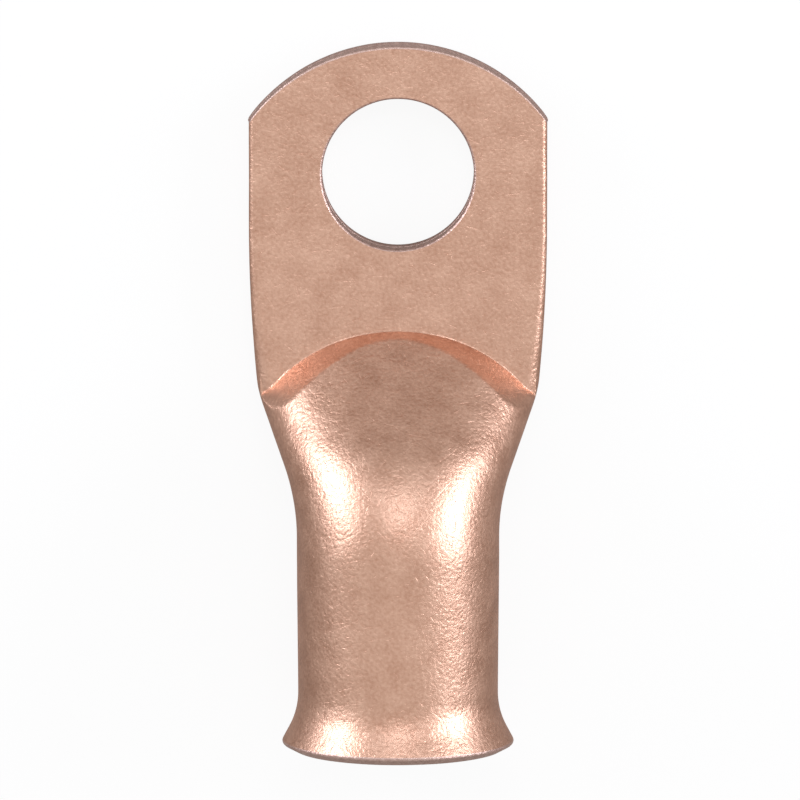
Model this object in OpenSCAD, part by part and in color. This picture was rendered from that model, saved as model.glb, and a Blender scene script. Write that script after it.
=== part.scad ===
// Copper cable lug: one length of copper tube, its mouth belled out for the strands to enter,
// its other end pressed flat into a palm and punched for a terminal stud.
//
// The lug lies on its back. +Z is the axis of the stud hole and points away from the face
// that bolts down; +Y points along the barrel to the tip of the palm. The origin is the
// centre of the stud hole on the palm's back face.

/* [Tube] */
// Outside diameter of the tube where the neck begins
tube_d = 17.4; // [14:0.1:22]
// Wall thickness of the tube
tube_wall = 1.75; // [1.2:0.05:2.2]
// Length from the tip of the palm to the mouth of the bell, before its corners are eased
overall_l = 60.1; // [48:0.1:80]

/* [Bell] */
// How far belling has drawn the tube in at the waist just before it, all round
waist_draw = 0.1; // [0:0.05:0.4]
// How far the rim stands out past the waist, all round, before its corners are eased
bell_flare = 1.45; // [0.8:0.05:3]
// Slope of the bell's wall to the barrel's axis, in degrees
bell_angle = 28; // [20:1:40]
// Radius of the bend between the barrel and the bell
bell_bend_r = 6.5; // [2:0.1:9]
// Wall thickness at the rim, thinned by belling
rim_wall = 1.5; // [1:0.05:2]
// Rounding of the rim's corners
rim_edge_r = 0.3; // [0.1:0.05:0.45]

/* [Palm] */
// Width across the palm's widest part
palm_w = 25.7; // [23:0.1:32]
// Thickness of the palm, which is two tube walls pressed together
palm_t = 3.4; // [2.6:0.05:4.4]
// Centre of the stud hole to the tip of the palm
hole_to_tip = 11.1; // [9.5:0.1:14]
// Radius of the tip
tip_r = 15.9; // [14:0.1:20]
// Rounding of the palm's side edges
edge_r = 0.6; // [0.3:0.05:1.2]
// Width of the seam that shows between the two walls where the tip is sheared
seam_w = 0.12; // [0.05:0.01:0.3]
// Depth of that seam
seam_depth = 0.25; // [0.1:0.05:0.6]
// Centre of the stud hole to where the sides start to draw in
hole_to_taper = 4; // [0:0.5:8]
// Radius of the long arcs on which the sides draw in
taper_r = 146; // [100:1:250]
// Diameter of the stud hole
stud_hole_d = 13; // [6:0.1:15.5]

/* [Neck and ramp] */
// Centre of the stud hole to the middle of the step that ends the palm's flat
hole_to_step = 13.5; // [11.5:0.1:18]
// Radius of the step, seen along the stud
step_r = 14.6; // [13:0.1:18]
// Slope of the step's wall, in degrees
step_angle = 65; // [58:1:80]
// Height of the step at its middle
step_h = 1.1; // [0.6:0.05:1.8]
// Radius in the corner at the foot of the step, which the die's nose leaves
step_root_r = 0.4; // [0.1:0.05:0.8]
// Slope of the ramp from the step to the barrel, in degrees
ramp_angle = 47; // [40:1:50]
// Radius of the crest between the ramp and the barrel
crest_r = 14; // [8:0.5:18]
// Centre of the stud hole to the corners where the sides turn in to the neck
hole_to_shoulder = 19; // [17:0.1:23]
// Slope of the neck's sides to the barrel's axis, in degrees
neck_angle = 21.5; // [17:0.5:30]
// Radius of the bends between the neck's sides and the barrel
neck_bend_r = 16; // [6:0.5:20]

/* [Hidden] */

$fn = 72;
copper = "#c8906c";
tube_r = tube_d / 2;
waist_r = tube_r - waist_draw;
bore_r = tube_r - tube_wall;
rim_r = waist_r + bell_flare;
mouth_y = hole_to_tip - overall_l;

// A lofted surface stops this far inside the exact surface that it runs into
skin = 0.01;
// A piece reaches this far into the next one, and a cutter this far past what it cuts
lap = 0.5;
// Points around one loft section, and the greatest gap between two sections
ring_n = 48;
ring_gap = 0.8;
slab_corner_n = 5;
// Steps in a bend, in a rounded corner of a turned profile and in the die's nose
bend_n = 10;
corner_n = 4;
nose_n = 4;
// Slope at which the die's nose leaves the palm's face
nose_from = 12;

// Thickness at which the two walls inside the ramp are taken to meet
slit = 0.3;
// The slab is this much thicker on each side than the palm before its faces are cut
palm_skirt = 0.1;
// Corner radius of the palm's sides by the step, as a share of the palm's thickness
fold_share = 0.45;
// How late the lower corners sharpen as the tube flattens
roll_power = 2.5;
// How fast the ramp's sides draw in under the palm's slab
tuck_slope = 0.2;

// Centre of the step's arc
step_y = -hole_to_step - step_r;
// Where the ramp would run out on the palm's face if the step did not cut it off
toe_y = -hole_to_step + step_h / tan(ramp_angle) - step_h / tan(step_angle);
// Where the ramp's crest leaves the barrel
crest_y = toe_y - crest_r * sin(ramp_angle)
    - (tube_d - palm_t - crest_r * (1 - cos(ramp_angle))) / tan(ramp_angle);
// Where the neck's sides leave the barrel
neck_side_y = -hole_to_shoulder - bend_run(neck_bend_r, neck_angle, palm_half(-hole_to_shoulder) - tube_r);
// The barrel is round from here to the bell
neck_y = min(crest_y, neck_side_y);
barrel_l = neck_y - mouth_y;
// Distance from the neck at which the bell starts
bell_start = barrel_l - rim_wall * sin(bell_angle) - bend_run(bell_bend_r, bell_angle, bell_flare);

// Rise after a run from the start of a bend of radius r that goes on as a straight at an angle
function bend_rise(run, r, angle) =
    run <= 0 ? 0 :
    run < r * sin(angle) ? r - sqrt(r * r - run * run) :
    r * (1 - cos(angle)) + (run - r * sin(angle)) * tan(angle);

// Run that such a bend and straight need for a given rise
function bend_run(r, angle, rise) = r * sin(angle) + (rise - r * (1 - cos(angle))) / tan(angle);

// Half the palm's width at y
function palm_half(y) = palm_w / 2 - bend_rise(-hole_to_taper - y, taper_r, 30);

// Half the outline's width at y, drawn in by an inset: the palm's sides or the neck's,
// whichever is the narrower
function half_width(y, inset) =
    min(palm_half(y) - inset, tube_r - inset + bend_rise(y - neck_side_y, neck_bend_r + inset, neck_angle));

// Height of the crest line at y, lowered square to itself by an inset
function crest_z(y, inset) = tube_d - inset - bend_rise(y - crest_y, crest_r - inset, ramp_angle);

// Radius of the lower corners at y: the barrel's own where it is round, sharper as it flattens
function roll_r(y) =
    let (open = max(0, crest_z(y, 0) - palm_t) / (tube_d - palm_t))
    edge_r + (tube_r - edge_r) * pow(open, roll_power);

// Closed section at y: flat underneath with rolled corners, crowned on top. Over the palm
// it tucks in under the slab's sides, so that only its crown comes through the top.
function lug_section(y, inset) =
    let (
        tuck = max(0, y + hole_to_shoulder) * tuck_slope,
        half = half_width(y, inset) - tuck,
        roll = max(roll_r(y) - inset, 4 * skin),
        side_z = inset + tuck + roll,
        rise = crest_z(y, inset) - side_z
    )
    [for (i = [0:ring_n - 1]) let (a = (i + 0.5) * 360 / ring_n)
        sin(a) > 0
            ? [half * cos(a), y, side_z + rise * sin(a)]
            : [sign(cos(a)) * (half - roll) + roll * cos(a), y, side_z + roll * sin(a)]];

// Section of the palm's slab at y, oversize in thickness by the skirt for its faces to be
// cut flat. Its edges are pressed square at the tip and fold round towards the step, and
// past the shoulder it draws in to end inside the ramp.
function slab_section(y) =
    let (
        half = half_width(y, 0) - max(0, -hole_to_shoulder - y),
        fold = min(1, max(0, -hole_to_taper - y) / (hole_to_shoulder - hole_to_taper)),
        r = edge_r + (fold_share * palm_t - edge_r) * fold * fold + palm_skirt
    )
    [for (corner = [0:3], i = [0:slab_corner_n]) let (
            a = 90 * (corner + i / slab_corner_n),
            side = corner == 0 || corner == 3 ? 1 : -1
        )
        [side * (half - r) + r * cos(a), y,
            (corner < 2 ? palm_t + palm_skirt - r : r - palm_skirt) + r * sin(a)]];

// Evenly spaced stations from one y to another
function stations(from, to, gap) =
    let (n = ceil(abs(to - from) / gap)) [for (i = [0:n]) from + (to - from) * i / n];

// Solid through a list of rings, each with as many points as the next
module loft(rings) {
    n = len(rings[0]);
    last = len(rings) - 1;
    sides = [for (r = [0:last - 1], i = [0:n - 1])
        let (a = r * n + i, b = r * n + (i + 1) % n)
        each [[a, b, a + n], [b, b + n, a + n]]];
    polyhedron(
        points = [for (ring = rings) each ring],
        faces = concat(sides, [[for (i = [n - 1:-1:0]) i]], [[for (i = [0:n - 1]) last * n + i]])
    );
}

// Turns a profile of [radius, distance from the neck] points about the barrel's axis
module turned(profile) {
    translate([0, neck_y, tube_r]) rotate([90, 0, 0]) rotate_extrude() polygon(profile);
}

// Points that round the corner at p between a and b
function eased(a, p, b, r) =
    let (from = p + r * (a - p) / norm(a - p), to = p + r * (b - p) / norm(b - p))
    [for (i = [0:corner_n]) let (s = i / corner_n)
        (1 - s) * (1 - s) * from + 2 * s * (1 - s) * p + s * s * to];

// Points along the bell's bend from a tube radius
function bell_bend(r, bend_r) =
    [for (i = [0:bend_n]) let (a = bell_angle * i / bend_n)
        [r + bend_r * (1 - cos(a)), bell_start + bend_r * sin(a)]];

rim_outer = [rim_r, barrel_l - rim_wall * sin(bell_angle)];
rim_inner = [rim_r - rim_wall * cos(bell_angle), barrel_l];
bell_outer_bend = bell_bend(waist_r, bell_bend_r);
bell_inner_bend = bell_bend(bore_r, bell_bend_r + tube_wall);

// Barrel and bell, filled, with the rim's outer corner rounded
module barrel_blank() {
    rim_slope = (rim_inner - rim_outer) / rim_wall;
    turned(concat(
        [[0, 0], [tube_r, 0]],
        bell_outer_bend,
        eased(bell_outer_bend[bend_n], rim_outer, rim_inner, rim_edge_r),
        [rim_inner + rim_edge_r * rim_slope, [0, rim_inner[1] + rim_edge_r * rim_slope[1]]]
    ));
}

// Hollow of the barrel and bell, with the rim's inner corner broken
module barrel_bore() {
    bend_end = bell_inner_bend[bend_n];
    wall_slope = (rim_inner - bend_end) / norm(rim_inner - bend_end);
    rim_slope = (rim_outer - rim_inner) / rim_wall;
    corner = rim_inner - rim_edge_r * wall_slope;
    flare = corner + 2 * (wall_slope + rim_slope);
    turned(concat([[0, 0], [bore_r, 0]], bell_inner_bend, [corner, flare, [0, flare[1]]]));
}

// The tube from the round barrel to its flattened end, filled
module ramp_blank() {
    loft([for (y = stations(neck_y - lap, toe_y, ring_gap)) lug_section(y, skin)]);
}

// The hollow that narrows inside the ramp and ends where the two walls meet
module ramp_hollow() {
    met = min(palm_t, 2 * tube_wall);
    end_y = toe_y - (tube_wall / cos(ramp_angle) + tube_wall + slit - met) / tan(ramp_angle);
    difference() {
        loft([for (y = stations(neck_y - lap, end_y, ring_gap)) lug_section(y, tube_wall + skin)]);
        palm_die(tube_wall);
    }
}

// What the upper die clears: all above the palm's face, outside the step's sloping wall.
// An inset gives the inner surface of the wall under it.
module palm_die(inset) {
    depth = 2 * palm_t;
    root_r = step_r + (step_root_r - inset) * tan(step_angle / 2);
    nose = [for (i = [0:nose_n]) let (a = nose_from + (step_angle - nose_from) * i / nose_n)
        [root_r - step_root_r * sin(a), step_root_r * (1 - cos(a))]];
    foot_r = nose[0][0] + (nose[0][1] + lap) / tan(nose_from);
    top_r = nose[nose_n][0] - (depth + lap - nose[nose_n][1]) / tan(step_angle);
    translate([0, step_y, palm_t - inset]) difference() {
        translate([-palm_w, 0, 0]) cube([2 * palm_w, hole_to_tip + lap - step_y, depth]);
        rotate_extrude() polygon(concat(
            [[0, -lap], [foot_r, -lap]], nose, [[top_r, depth + lap], [0, depth + lap]]
        ));
    }
}

// The pressed palm, its underside flat and its tip sheared round
module palm_blank() {
    intersection() {
        loft([for (y = stations(-hole_to_shoulder - lap, hole_to_tip + lap, 2)) slab_section(y)]);
        linear_extrude(2 * palm_t) union() {
            translate([0, hole_to_tip - tip_r]) circle(tip_r);
            translate([-palm_w / 2 - lap, -hole_to_shoulder - 2 * lap])
                square([palm_w + 2 * lap, hole_to_shoulder + hole_to_tip - tip_r + 2 * lap]);
        }
    }
}

// The line between the two walls along the sheared tip
module tip_seam() {
    translate([0, hole_to_tip - tip_r, (palm_t - seam_w) / 2]) difference() {
        cylinder(h = seam_w, r = tip_r + lap);
        translate([0, 0, -lap]) cylinder(h = seam_w + 2 * lap, r = tip_r - seam_depth);
        translate([-2 * tip_r, -2 * tip_r, -lap]) cube([4 * tip_r, 2 * tip_r, seam_w + 2 * lap]);
    }
}

module stud_hole() {
    translate([0, 0, -lap]) cylinder(h = palm_t + 2 * lap, d = stud_hole_d);
}

module cable_lug() {
    color(copper) difference() {
        union() {
            barrel_blank();
            ramp_blank();
            palm_blank();
        }
        palm_die(0);
        barrel_bore();
        ramp_hollow();
        tip_seam();
        stud_hole();
    }
}

cable_lug();
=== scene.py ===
import math
from types import SimpleNamespace

import bpy
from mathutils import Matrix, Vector


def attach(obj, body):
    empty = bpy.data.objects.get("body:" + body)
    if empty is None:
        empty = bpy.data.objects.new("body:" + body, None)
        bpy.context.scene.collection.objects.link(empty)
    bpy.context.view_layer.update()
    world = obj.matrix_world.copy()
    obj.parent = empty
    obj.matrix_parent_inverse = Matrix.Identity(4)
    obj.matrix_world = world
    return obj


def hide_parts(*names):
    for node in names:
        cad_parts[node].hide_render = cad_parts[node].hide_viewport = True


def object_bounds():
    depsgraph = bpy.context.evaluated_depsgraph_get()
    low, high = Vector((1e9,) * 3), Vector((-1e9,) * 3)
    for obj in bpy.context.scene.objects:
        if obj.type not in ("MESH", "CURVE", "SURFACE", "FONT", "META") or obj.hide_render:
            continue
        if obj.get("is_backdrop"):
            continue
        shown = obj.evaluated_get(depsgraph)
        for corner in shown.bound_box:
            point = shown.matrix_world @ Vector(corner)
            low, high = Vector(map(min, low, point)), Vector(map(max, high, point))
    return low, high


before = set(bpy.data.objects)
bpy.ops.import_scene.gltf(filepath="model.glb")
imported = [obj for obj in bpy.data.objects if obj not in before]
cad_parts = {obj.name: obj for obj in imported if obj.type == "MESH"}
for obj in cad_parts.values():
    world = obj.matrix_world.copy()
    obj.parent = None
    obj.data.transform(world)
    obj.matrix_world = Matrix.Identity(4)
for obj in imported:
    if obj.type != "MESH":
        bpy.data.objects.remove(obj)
LOW, HIGH = ([c for c in corner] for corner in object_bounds())

MM = 0.001

# The lug's sizes in millimetres and degrees, as the maker's drawing names them. The palm and
# the length are a hair short of the drawing's, which leaves room for the waves of the face.
SIZES = dict(
    tube_d=17.4, tube_wall=1.75, waist_d=17.2, overall_l=60.08,
    rim_d=20.1, bell_angle=28, bell_bend_r=6.5, rim_wall=1.5, rim_edge_r=0.3,
    palm_w=25.64, palm_t=3.4, hole_to_tip=11.1, tip_r=15.9, edge_r=0.6,
    hole_to_taper=4, taper_r=146, stud_hole_d=13,
    hole_to_step=13.5, step_r=14.6, step_angle=65, step_h=1.1,
    ramp_angle=47, crest_r=14, hole_to_shoulder=19, neck_angle=21.5, neck_bend_r=16,
)

# The small features, in millimetres
STEP_CREST = 0.22       # rounding of the step's top edge
STEP_ROOT = 0.12        # rounding of the step's foot
DIE_SUNK = 0.4          # how far the die's cone is carried below the palm's face
SHOULDER_ROUND = 0.5    # rounding where the palm's sides turn in to the neck
LEAST_ROLL = 0.04       # the sharpest that the tube's lower corners become
CUT_ROLL = 0.25         # rounding where the shear enters the tip
HOLE_ROLL = 0.35        # rounding where the punch enters the hole
HOLE_EXIT = 0.12        # rounding where the punch leaves the hole
ROLL_DEEP = 0.96 * HOLE_ROLL    # how deep those two roundings go: a little less than a
EXIT_DEEP = 0.11                # quarter turn, so that the punch crosses each face cleanly
SEAM_HALF = 0.09        # half the width of the seam between the two walls
SEAM_DEPTH = 0.2
WAVE_SIZE = 5           # length of the slow waves in the face
WAVE_DEPTH = 0.04
WAVE_SINK = 0.02        # how far the whole face lies under its true surface
MERGE = 0.004           # points nearer than this become one

ROLL_POWER = 2.5        # how late the lower corners sharpen as the tube flattens
FOLD_SHARE = 0.45       # corner radius of the palm by the step, as a share of its thickness
TAPER_MOST = 30         # the steepest that the palm's sides could draw in, in degrees
BOW_START, BOW_RUN = -31, 16    # where the rows of faces start to follow the tip's arc
BACK_SHIFT = 40         # how far the back lies from the front on the unrolled surface
SHARP = 0.6             # edges that bend more than this, in radians, stay sharp

# Faces round the tube and round the hole, and rows across the cut tip and the rim
AROUND, HOLE_AROUND = 240, 120
CUT_ROWS, RIM_ROWS = 22, 14

# The finishes, in the order of the materials
FACE, CUT, BORE = range(3)


def srgb(code):
    """A linear colour with alpha from an sRGB hex code."""
    parts = [int(code[i:i + 2], 16) / 255 for i in (1, 3, 5)]
    return (*[p / 12.92 if p < 0.04045 else ((p + 0.055) / 1.055) ** 2.4 for p in parts], 1)


def put(socket, value):
    """Links a field or a socket into a socket, or sets it to a plain value."""
    if isinstance(value, Field):
        value = value.socket
    if isinstance(value, bpy.types.NodeSocket):
        socket.id_data.links.new(value, socket)
    else:
        socket.default_value = value


def add(tree, kind, settings=None, **inputs):
    """Adds a node, with its settings by attribute and its inputs by name or number."""
    node = tree.nodes.new(kind)
    for name, value in (settings or {}).items():
        setattr(node, name, value)
    for name, value in inputs.items():
        put(node.inputs[int(name[1:]) if name[0] == "_" else name.replace("_", " ")], value)
    return node


class Field:
    """A number at every point: arithmetic on it adds math nodes to its tree."""

    def __init__(self, socket):
        self.socket = socket

    def math(self, operation, *others):
        node = add(self.socket.id_data, "ShaderNodeMath", {"operation": operation})
        for socket, value in zip(node.inputs, (self, *others)):
            put(socket, value)
        return Field(node.outputs[0])

    def __add__(self, other): return self.math("ADD", other)
    __radd__ = __add__
    def __mul__(self, other): return self.math("MULTIPLY", other)
    __rmul__ = __mul__
    def __sub__(self, other): return self.math("SUBTRACT", other)
    def __rsub__(self, other): return self.math("MULTIPLY_ADD", -1, other)
    def __truediv__(self, other): return self.math("DIVIDE", other)
    def __rtruediv__(self, other): return (self * 0 + other) / self
    def sin(self): return self.math("SINE")
    def cos(self): return self.math("COSINE")
    def size(self): return self.math("ABSOLUTE")
    def over(self, least): return self.math("MAXIMUM", least)
    def under(self, most): return self.math("MINIMUM", most)
    def sqrt(self): return self.over(0).math("SQRT")
    def unit(self): return self.over(0).under(1)
    def ease(self): return self.unit() * self.unit() * (3 - 2 * self.unit())


def rows_in(runs):
    """How many rows the runs have together."""
    return sum(rows for rows, _ in runs)


def along(t, start, runs):
    """The place at t, from 0 to 1, on a path through runs of (rows, end)."""
    total, done, place = rows_in(runs), 0, t * 0 + start
    for rows, end in runs:
        place = place + ((t * total - done) / rows).unit() * (end - start)
        start, done = end, done + rows
    return place


def patch(tree, rows, around, rule, finish):
    """A tube-shaped sheet of faces whose points rule(angle, t) places, in millimetres.

    The rule also gives the point's place on the unrolled surface, which is kept as its UV map.
    Each face keeps the number of its finish.
    """
    grid = add(tree, "GeometryNodeMeshGrid", _0=1.0, _1=1.0, _2=around + 1, _3=rows + 1)
    place = add(tree, "ShaderNodeSeparateXYZ",
                _0=add(tree, "GeometryNodeInputPosition").outputs[0])
    angle = (Field(place.outputs[0]) + 0.5 + 0.5 / around) * (2 * math.pi)
    x, y, z, u, v = rule(angle, Field(place.outputs[1]) + 0.5)
    point = add(tree, "ShaderNodeCombineXYZ", _0=x * MM, _1=y * MM, _2=z * MM)
    chart = add(tree, "ShaderNodeCombineXYZ", _0=u * MM, _1=v * MM)
    kept = add(tree, "GeometryNodeStoreNamedAttribute",
               {"data_type": "FLOAT2", "domain": "CORNER"},
               Geometry=grid.outputs[0], Name="unrolled", Value=chart.outputs[0])
    kept = add(tree, "GeometryNodeStoreNamedAttribute", {"data_type": "INT", "domain": "FACE"},
               Geometry=kept.outputs[0], Name="finish", Value=finish)
    return add(tree, "GeometryNodeSetPosition", Geometry=kept.outputs[0],
               Position=point.outputs[0])


def lug_rules(s):
    """The rules of the lug's surfaces, from its sizes as fields: each as (rows, rule)."""
    def sin(degrees): return (degrees * (math.pi / 180)).sin()
    def cos(degrees): return (degrees * (math.pi / 180)).cos()
    def tan(degrees): return sin(degrees) / cos(degrees)

    def rise(run, r, angle):
        """Rise after a run from the start of a bend that goes on as a straight."""
        run = run.over(0)
        bend = run.under(r * sin(angle))
        return r - (r * r - bend * bend).sqrt() + (run - bend) * tan(angle)

    def run_for(r, angle, height):
        """Run that such a bend and straight need for a height."""
        return r * sin(angle) + (height - r * (1 - cos(angle))) / tan(angle)

    def palm_half(y):
        return s.palm_w / 2 - rise(0 - s.hole_to_taper - y, s.taper_r, s.tube_d * 0 + TAPER_MOST)

    tube_r, waist_r, bore_r = s.tube_d / 2, s.waist_d / 2, s.tube_d / 2 - s.tube_wall
    rim_r, half_wall, mid_palm = s.rim_d / 2, s.rim_wall / 2, s.palm_t / 2
    bell_sin, bell_cos = sin(s.bell_angle), cos(s.bell_angle)
    step_y = 0 - s.hole_to_step - s.step_r
    toe_y = 0 - s.hole_to_step + s.step_h / tan(s.ramp_angle) - s.step_h / tan(s.step_angle)
    crest_y = toe_y - run_for(s.crest_r, s.ramp_angle, s.tube_d - s.palm_t)
    neck_side_y = 0 - s.hole_to_shoulder - run_for(
        s.neck_bend_r, s.neck_angle, palm_half(0 - s.hole_to_shoulder) - tube_r)
    # The tube is round from the neck to the bell
    neck_y = crest_y.under(neck_side_y)
    barrel_l = neck_y - (s.hole_to_tip - s.overall_l)
    bell_start = barrel_l - s.rim_wall * bell_sin - run_for(
        s.bell_bend_r, s.bell_angle, rim_r - waist_r)

    def crest_z(y, inset):
        """Height of the crest line at y, lowered square to itself by an inset."""
        return s.tube_d - inset - rise(y - crest_y, s.crest_r - inset, s.ramp_angle)

    def opening(y):
        """How open the tube is at y: 1 where it is round, 0 where it is pressed flat."""
        return ((crest_z(y, 0) - s.palm_t) / (s.tube_d - s.palm_t)).unit()

    def half_width(y, inset):
        neck = tube_r - inset + rise(y - neck_side_y, s.neck_bend_r + inset, s.neck_angle)
        return (palm_half(y) - inset).math("SMOOTH_MIN", neck, SHOULDER_ROUND)

    def section(angle, y, inset, least_roll):
        """Width, half width, top and floor of the flattened tube at y, clear of the bell."""
        y = y.over(neck_y)
        half = half_width(y, inset)
        x = half * angle.cos()
        roll = s.edge_r + (tube_r - s.edge_r) * opening(y).math("POWER", ROLL_POWER)
        roll = (roll - inset).over(least_roll)
        side = roll + inset
        past = (x.size() - half + roll).over(0)
        floor = side - (roll * roll - past * past).sqrt()
        crown = side + (crest_z(y, inset) - side) * angle.sin().size()
        from_step = (x * x + (y - step_y) * (y - step_y)).sqrt()
        reach = s.step_r - inset / sin(s.step_angle) + DIE_SUNK / tan(s.step_angle) - from_step
        die = s.palm_t - inset - DIE_SUNK + reach.over(0) * tan(s.step_angle)
        return x, half, crown.math("SMOOTH_MIN", die, STEP_CREST), floor

    def above(angle):
        return angle.sin().math("GREATER_THAN", 0)

    def outside(angle, y):
        """The outer surface at a station y, which follows the tip's arc past the neck."""
        across = s.palm_w / 2 * angle.cos()
        bow = s.tip_r - (s.tip_r * s.tip_r - across * across).sqrt()
        y = y - bow * ((y - BOW_START) / BOW_RUN).ease()
        fold = ((0 - s.hole_to_taper - y) / (s.hole_to_shoulder - s.hole_to_taper)).unit()
        corner = s.edge_r + (FOLD_SHARE * s.palm_t - s.edge_r) * fold * fold
        x, half, hump, floor = section(angle, y, 0, corner)
        past = (x.size() - half + corner).over(0)
        sunk = (0 - s.hole_to_shoulder - y).over(0)
        slab = s.palm_t - corner + (corner * corner - past * past).sqrt() - sunk
        top = slab.math("SMOOTH_MAX", hump, STEP_ROOT)
        z = floor + (top - floor) * above(angle)
        out = neck_y - y
        radius = (out / bell_start).unit() * (waist_r - tube_r)
        radius = radius + rise(out - bell_start, s.bell_bend_r, s.bell_angle)
        turn = (angle - math.pi / 2).math("WRAP", math.pi, -math.pi)
        unrolled = turn * tube_r * opening(y) - x * (1 - opening(y))
        unrolled = unrolled + (above(angle) - 1) * BACK_SHIFT
        return x + radius * angle.cos(), y, z + radius * angle.sin(), unrolled, y

    rim_start = neck_y - barrel_l + s.rim_wall * bell_sin + s.rim_edge_r * bell_cos
    outer_runs = (44, -11), (96, -20), (36, -32), (20, -43), (34, rim_start)

    def outer(angle, t):
        """The outside, from the tip to the rim."""
        return outside(angle, along(t, s.hole_to_tip - CUT_ROLL, outer_runs))

    def cut(angle, t):
        """The sheared tip: it closes on the seam between the two pressed walls."""
        x, y, z, _, _ = outside(angle, t * 0 + s.hole_to_tip - CUT_ROLL)
        share = 0.5 - 0.5 * (t * math.pi).cos()
        edge = (CUT_ROLL - (1 - share) * mid_palm).over(0)
        seam = (share * mid_palm / SEAM_HALF).under(1)
        push = (CUT_ROLL ** 2 - edge * edge).sqrt() - SEAM_DEPTH * (1 - seam * seam)
        off_mid = (z - mid_palm) * share
        return x, y + push, mid_palm + off_mid, x, off_mid

    def rim(angle, t):
        """The cut end of the bell, square to its wall, with eased corners."""
        across = (t * math.pi).cos() * half_wall * -1
        past = (across.size() - half_wall + s.rim_edge_r).over(0)
        proud = (s.rim_edge_r * s.rim_edge_r - past * past).sqrt() - s.rim_edge_r
        r = rim_r - (half_wall + across) * bell_cos + proud * bell_sin
        out = barrel_l - (half_wall - across) * bell_sin + proud * bell_cos
        return r * angle.cos(), neck_y - out, tube_r + r * angle.sin(), angle * tube_r, across

    mouth = barrel_l - s.rim_edge_r * bell_cos
    meet = crest_y + run_for(
        s.crest_r - s.tube_wall, s.ramp_angle, s.tube_d - 2 * s.tube_wall)
    inner_runs = (24, -43), (14, -32), (50, meet)

    def inner(angle, t):
        """The bore, from the mouth to where the two walls meet under the ramp."""
        bend_r = s.bell_bend_r + s.tube_wall
        bend_end = bell_start + bend_r * bell_sin
        bend_rise = rise(bend_end - bell_start, bend_r, s.bell_angle)
        flare_r = rim_r - s.rim_wall * bell_cos - s.rim_edge_r * bell_sin
        slope = (flare_r - bore_r - bend_rise) / (mouth - bend_end)
        y = along(t, neck_y - mouth, inner_runs)
        out = neck_y - y
        flare = rise(out.under(bend_end) - bell_start, bend_r, s.bell_angle)
        flare = flare + (out - bend_end).over(0) * slope
        x, _, top, floor = section(angle, y, s.tube_wall, LEAST_ROLL)
        # The last row closes on itself
        gap = (top - floor).over(0) * ((1 - t) * rows_in(inner_runs)).unit()
        z = floor + gap * above(angle)
        return x + flare * angle.cos(), y, z + flare * angle.sin(), angle * bore_r, y

    punch_runs = (6, -0.01), (10, 0.3), (24, s.palm_t - 0.5), (16, s.palm_t), (4, s.palm_t + 1)

    def punch(angle, t):
        """The stud hole's punch, which rolls the top edge over and opens the seam."""
        rows, hole_r = rows_in(punch_runs), s.stud_hole_d / 2
        z = along(t, t * 0 - 1, punch_runs)
        up = (z - s.palm_t + HOLE_ROLL).over(0).under(ROLL_DEEP)
        down = (HOLE_EXIT - z).over(0).under(EXIT_DEEP)
        seam = (z - mid_palm) / SEAM_HALF
        r = hole_r + HOLE_ROLL - (HOLE_ROLL ** 2 - up * up).sqrt()
        r = r + HOLE_EXIT - (HOLE_EXIT ** 2 - down * down).sqrt()
        r = r + (1 - seam * seam).over(0) * SEAM_DEPTH
        # The first and last rows close on the axis
        r = r * (t * rows).under((1 - t) * rows).unit()
        return r * angle.cos(), r * angle.sin(), z, angle * hole_r, z

    return SimpleNamespace(
        cut=(CUT_ROWS, cut), outer=(rows_in(outer_runs), outer), rim=(RIM_ROWS, rim),
        inner=(rows_in(inner_runs), inner), punch=(rows_in(punch_runs), punch))


def metal_shader(name):
    """A metal material, its tree, its principled node and object coordinates in millimetres."""
    material = bpy.data.materials.new(name)
    material.use_nodes = True
    tree = material.node_tree
    metal = tree.nodes["Principled BSDF"]
    metal.inputs["Metallic"].default_value = 1
    return material, tree, metal, in_mm(tree, add(tree, "ShaderNodeTexCoord").outputs["Object"])


def in_mm(tree, coordinates):
    """Coordinates turned from metres to millimetres."""
    return add(tree, "ShaderNodeVectorMath", {"operation": "SCALE"},
               _0=coordinates, Scale=1 / MM).outputs[0]


def noise(tree, place, size, detail, stretch=(1, 1, 1)):
    """Noise from 0 to 1 with lumps of a size in millimetres."""
    scaled = add(tree, "ShaderNodeVectorMath", {"operation": "MULTIPLY"}, _0=place, _1=stretch)
    return Field(add(tree, "ShaderNodeTexNoise", Vector=scaled.outputs[0], Scale=1 / size,
                     Detail=detail).outputs[0])


def scratches(tree, place, cell, width, turn):
    """Short straight scratches, one in each cell of the surface, each lying its own way."""
    flat = add(tree, "ShaderNodeVectorRotate", {"rotation_type": "Z_AXIS"},
               Vector=place, Angle=turn)
    cells = add(tree, "ShaderNodeTexVoronoi", {"voronoi_dimensions": "2D"},
                Vector=flat.outputs[0], Scale=1 / cell)
    off = add(tree, "ShaderNodeVectorMath", {"operation": "SUBTRACT"},
              _0=flat.outputs[0], _1=cells.outputs["Position"])
    off = add(tree, "ShaderNodeSeparateXYZ", _0=off.outputs[0])
    chance = add(tree, "ShaderNodeSeparateColor", _0=cells.outputs["Color"])
    angle, strength = Field(chance.outputs[0]) * (2 * math.pi), Field(chance.outputs[1])
    x, y = Field(off.outputs[0]), Field(off.outputs[1])
    across = x * angle.sin() - y * angle.cos()
    lengthwise = x * angle.cos() + y * angle.sin()
    line = (1 - across.size() / width).unit()
    return line * (1 - lengthwise.size() / (cell * 0.6)).unit() * strength


def tinted(tree, metal, share, dark, light):
    """Colours the metal between two hex colours by a share from 0 to 1."""
    mix = add(tree, "ShaderNodeMix", {"data_type": "RGBA"}, Factor=share,
              _6=srgb(dark), _7=srgb(light))
    put(metal.inputs["Base Color"], mix.outputs[2])


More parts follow.
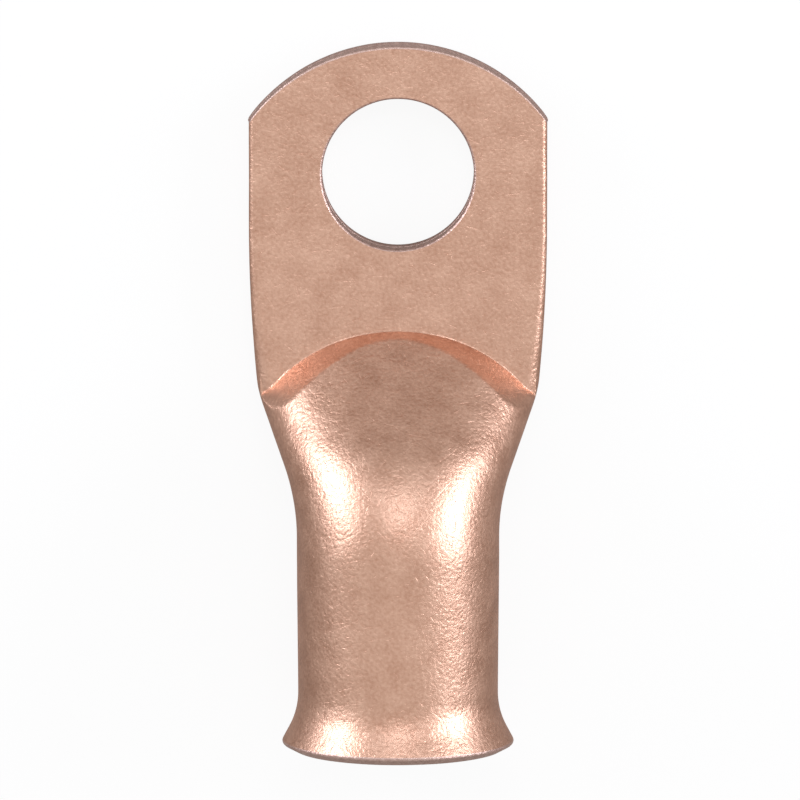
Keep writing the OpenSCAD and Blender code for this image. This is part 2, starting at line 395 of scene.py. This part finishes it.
def bumped(tree, metal, height, depth):
    """Gives the metal a relief of a depth in millimetres."""
    bump = add(tree, "ShaderNodeBump", Height=height, Distance=depth * MM)
    put(metal.inputs["Normal"], bump.outputs[0])


def tumbled_copper():
    """Bare copper after tumbling: satin, mottled, with short scratches and pits."""
    material, tree, metal, place = metal_shader("tumbled copper")
    chart = in_mm(tree, add(tree, "ShaderNodeUVMap", {"uv_map": "unrolled"}).outputs[0])
    mottle = noise(tree, place, 2.2, 5.0)
    grain = noise(tree, place, 0.28, 4.0)
    marks = scratches(tree, chart, 1.5, 0.05, 0.3) + scratches(tree, chart, 0.9, 0.035, 1.7)
    marks = marks + scratches(tree, chart, 2.6, 0.06, 2.6)
    pits = ((0.62 - noise(tree, place, 0.35, 2.0)) * 6).unit()
    tinted(tree, metal, mottle * 0.9 + grain * 1.3 - 0.6, "#cf9e86", "#f2c8b0")
    put(metal.inputs["Roughness"], 0.24 + mottle * 0.16 + grain * 0.12 + marks * 0.05)
    bumped(tree, metal, grain * 1.1 + mottle * 1.6 + pits * 0.3 - marks * 0.45, 0.03)
    return material


def sheared_copper():
    """The copper's cut edges: paler, drawn out in fine lines by the blade."""
    material, tree, metal, place = metal_shader("sheared copper")
    lines = noise(tree, place, 0.35, 4.0, (1, 1, 0.12))
    grain = noise(tree, place, 0.25, 4.0)
    tinted(tree, metal, lines, "#b9948a", "#ecd2c6")
    put(metal.inputs["Roughness"], 0.3 + grain * 0.3)
    bumped(tree, metal, lines + grain, 0.06)
    return material


def drawn_copper():
    """The inside of the tube: drawn smooth, a little browner than the outside."""
    material, tree, metal, place = metal_shader("drawn copper bore")
    lines = noise(tree, place, 0.6, 3.0, (1, 0.08, 1))
    tinted(tree, metal, lines, "#bd8466", "#d9a283")
    put(metal.inputs["Roughness"], 0.3 + lines * 0.15)
    bumped(tree, metal, lines, 0.02)
    return material


def merged(tree, *sheets):
    """Sheets joined into one mesh where their edges meet."""
    joined = add(tree, "GeometryNodeJoinGeometry")
    for sheet in sheets:
        put(joined.inputs[0], sheet.outputs[0])
    return add(tree, "GeometryNodeMergeByDistance", Geometry=joined.outputs[0],
               Distance=MERGE * MM)


def lug_tree(finishes):
    """The whole lug as one node tree, with its sizes as named inputs."""
    tree = bpy.data.node_groups.new("lug by rule", "GeometryNodeTree")
    tree.interface.new_socket("Geometry", in_out="OUTPUT", socket_type="NodeSocketGeometry")
    for name in SIZES:
        tree.interface.new_socket(name, in_out="INPUT", socket_type="NodeSocketFloat")
    sizes = add(tree, "NodeGroupInput")
    rules = lug_rules(SimpleNamespace(**{name: Field(sizes.outputs[name]) for name in SIZES}))

    def sheet(rule, around, finish):
        return patch(tree, rule[0], around, rule[1], finish)

    body = merged(tree, sheet(rules.cut, AROUND, CUT), sheet(rules.outer, AROUND, FACE),
                  sheet(rules.rim, AROUND, CUT), sheet(rules.inner, AROUND, BORE))
    # The face was never quite flat: it lies a little under its true surface, in slow waves
    wave = add(tree, "ShaderNodeTexNoise", Scale=1 / (WAVE_SIZE * MM), Detail=1.0)
    depth = Field(wave.outputs[0]) * (-WAVE_DEPTH * MM) - WAVE_SINK * MM
    push = add(tree, "ShaderNodeVectorMath", {"operation": "SCALE"},
               _0=add(tree, "GeometryNodeInputNormal").outputs[0], Scale=depth)
    body = add(tree, "GeometryNodeSetPosition", Geometry=body.outputs[0],
               Offset=push.outputs[0])
    punch = merged(tree, sheet(rules.punch, HOLE_AROUND, CUT))
    punched = add(tree, "GeometryNodeMeshBoolean",
                  {"operation": "DIFFERENCE", "solver": "EXACT"},
                  _0=body.outputs[0], _1=punch.outputs[0])
    bend = Field(add(tree, "GeometryNodeInputMeshEdgeAngle").outputs[0])
    smooth = add(tree, "GeometryNodeSetShadeSmooth", {"domain": "EDGE"},
                 Geometry=punched.outputs[0], Shade_Smooth=bend.math("LESS_THAN", SHARP))
    done = add(tree, "GeometryNodeRealizeInstances", Geometry=smooth.outputs[0])
    kept = add(tree, "GeometryNodeInputNamedAttribute", {"data_type": "INT"}, Name="finish")
    for number, material in enumerate(finishes):
        chosen = Field(kept.outputs[0]).math("COMPARE", number, 0.5)
        done = add(tree, "GeometryNodeSetMaterial", Geometry=done.outputs[0],
                   Selection=chosen, Material=material)
    add(tree, "NodeGroupOutput", _0=done.outputs[0])
    return tree


def made_lug():
    """The lug's mesh, by the tree above at the drawing's sizes."""
    tree = lug_tree((tumbled_copper(), sheared_copper(), drawn_copper()))
    carrier = bpy.data.objects.new("carrier", bpy.data.meshes.new("carrier"))
    bpy.context.collection.objects.link(carrier)
    modifier = carrier.modifiers.new("rule", "NODES")
    modifier.node_group = tree
    for socket in tree.interface.items_tree:
        if socket.in_out == "INPUT":
            modifier[socket.identifier] = float(SIZES[socket.name])
    ready = carrier.evaluated_get(bpy.context.evaluated_depsgraph_get())
    mesh = bpy.data.meshes.new_from_object(ready)
    bpy.data.objects.remove(carrier)
    lug = bpy.data.objects.new("copper_lug", mesh)
    bpy.context.collection.objects.link(lug)
    return lug


def softbox(name, toward, width, height, power):
    """A softbox that faces the lug from a direction, with sizes in millimetres."""
    light = bpy.data.lights.new(name, "AREA")
    light.shape, light.energy = "RECTANGLE", power
    light.size, light.size_y = width * MM, height * MM
    light.color = srgb("#eef2ff")[:3]
    box = bpy.data.objects.new(name, light)
    middle, distance = Vector((0, -20, 8)), 420
    away = Vector(toward).normalized()
    box.location = (middle + away * distance) * MM
    box.rotation_euler = away.to_track_quat("Z", "Y").to_euler()
    bpy.context.collection.objects.link(box)


def white_paper():
    """Paper that looks white with a faint shadow, and mid grey to the copper above it."""
    paper = bpy.data.materials.new("white paper")
    paper.use_nodes = True
    tree = paper.node_tree
    seen = Field(add(tree, "ShaderNodeLightPath").outputs["Is Camera Ray"])
    tone = add(tree, "ShaderNodeMix", {"data_type": "RGBA"}, Factor=seen,
               _6=srgb("#a8a29c"), _7=srgb("#fbfbfb"))
    matt = add(tree, "ShaderNodeBsdfDiffuse", Color=tone.outputs[2])
    glow = add(tree, "ShaderNodeEmission", Strength=1.0)
    mixed = add(tree, "ShaderNodeMixShader", _0=seen * 0.9, _1=matt.outputs[0],
                _2=glow.outputs[0])
    put(tree.nodes["Material Output"].inputs[0], mixed.outputs[0])
    return paper


def floor():
    """The floor, sloped a little so that the rim and the palm's tip rest on it."""
    rim_low, rim_y, tip_y = LOW[2], -48.3 * MM, 11.0 * MM
    half = 1.2
    mesh = bpy.data.meshes.new("floor")
    mesh.from_pydata([(-half, -half, 0), (half, -half, 0), (half, half, 0), (-half, half, 0)],
                     [], [(0, 1, 2, 3)])
    mesh.materials.append(white_paper())
    sheet = bpy.data.objects.new("floor", mesh)
    sheet.rotation_euler = (math.atan2(-rim_low, tip_y - rim_y), 0, 0)
    sheet.location = (0, rim_y, rim_low - 0.02 * MM)
    bpy.context.collection.objects.link(sheet)
    return sheet


def studio():
    """White surroundings, brighter overhead, with a softbox on each side and one above."""
    world = bpy.data.worlds.new("studio")
    world.use_nodes = True
    tree = world.node_tree
    up = add(tree, "ShaderNodeSeparateXYZ",
             _0=add(tree, "ShaderNodeTexCoord").outputs["Generated"])
    high = Field(up.outputs[2]).unit()
    put(tree.nodes["Background"].inputs["Color"], srgb("#fffdfb"))
    put(tree.nodes["Background"].inputs["Strength"], 0.46 + high.math("POWER", 0.7) * 0.26)
    bpy.context.scene.world = world
    softbox("softbox_right", (0.91, 0.25, 0.40), 250, 170, 1.0)
    softbox("softbox_left", (-0.87, 0.44, 0.28), 230, 180, 0.95)
    softbox("softbox_top", (0.05, 0.50, 0.86), 160, 90, 0.22)


def camera():
    """A long lens nearly square to the palm, a little toward its tip."""
    distance, field = 1500, 68.4
    lens = bpy.data.cameras.new("camera")
    lens.sensor_width = 36
    lens.lens = lens.sensor_width * distance / field
    lens.clip_end = 10
    seat = bpy.data.objects.new("camera", lens)
    tilt = math.radians(8.7)
    target = Vector((0.17, -18.8, 8))
    seat.location = (target + distance * Vector((0, math.sin(tilt), math.cos(tilt)))) * MM
    seat.rotation_euler = (-tilt, 0, 0)
    bpy.context.collection.objects.link(seat)
    bpy.context.scene.camera = seat


lug = made_lug()
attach(lug, "root")
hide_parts("cable_lug")
floor()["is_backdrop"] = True
studio()
camera()
bpy.context.scene.view_settings.view_transform = "Standard"
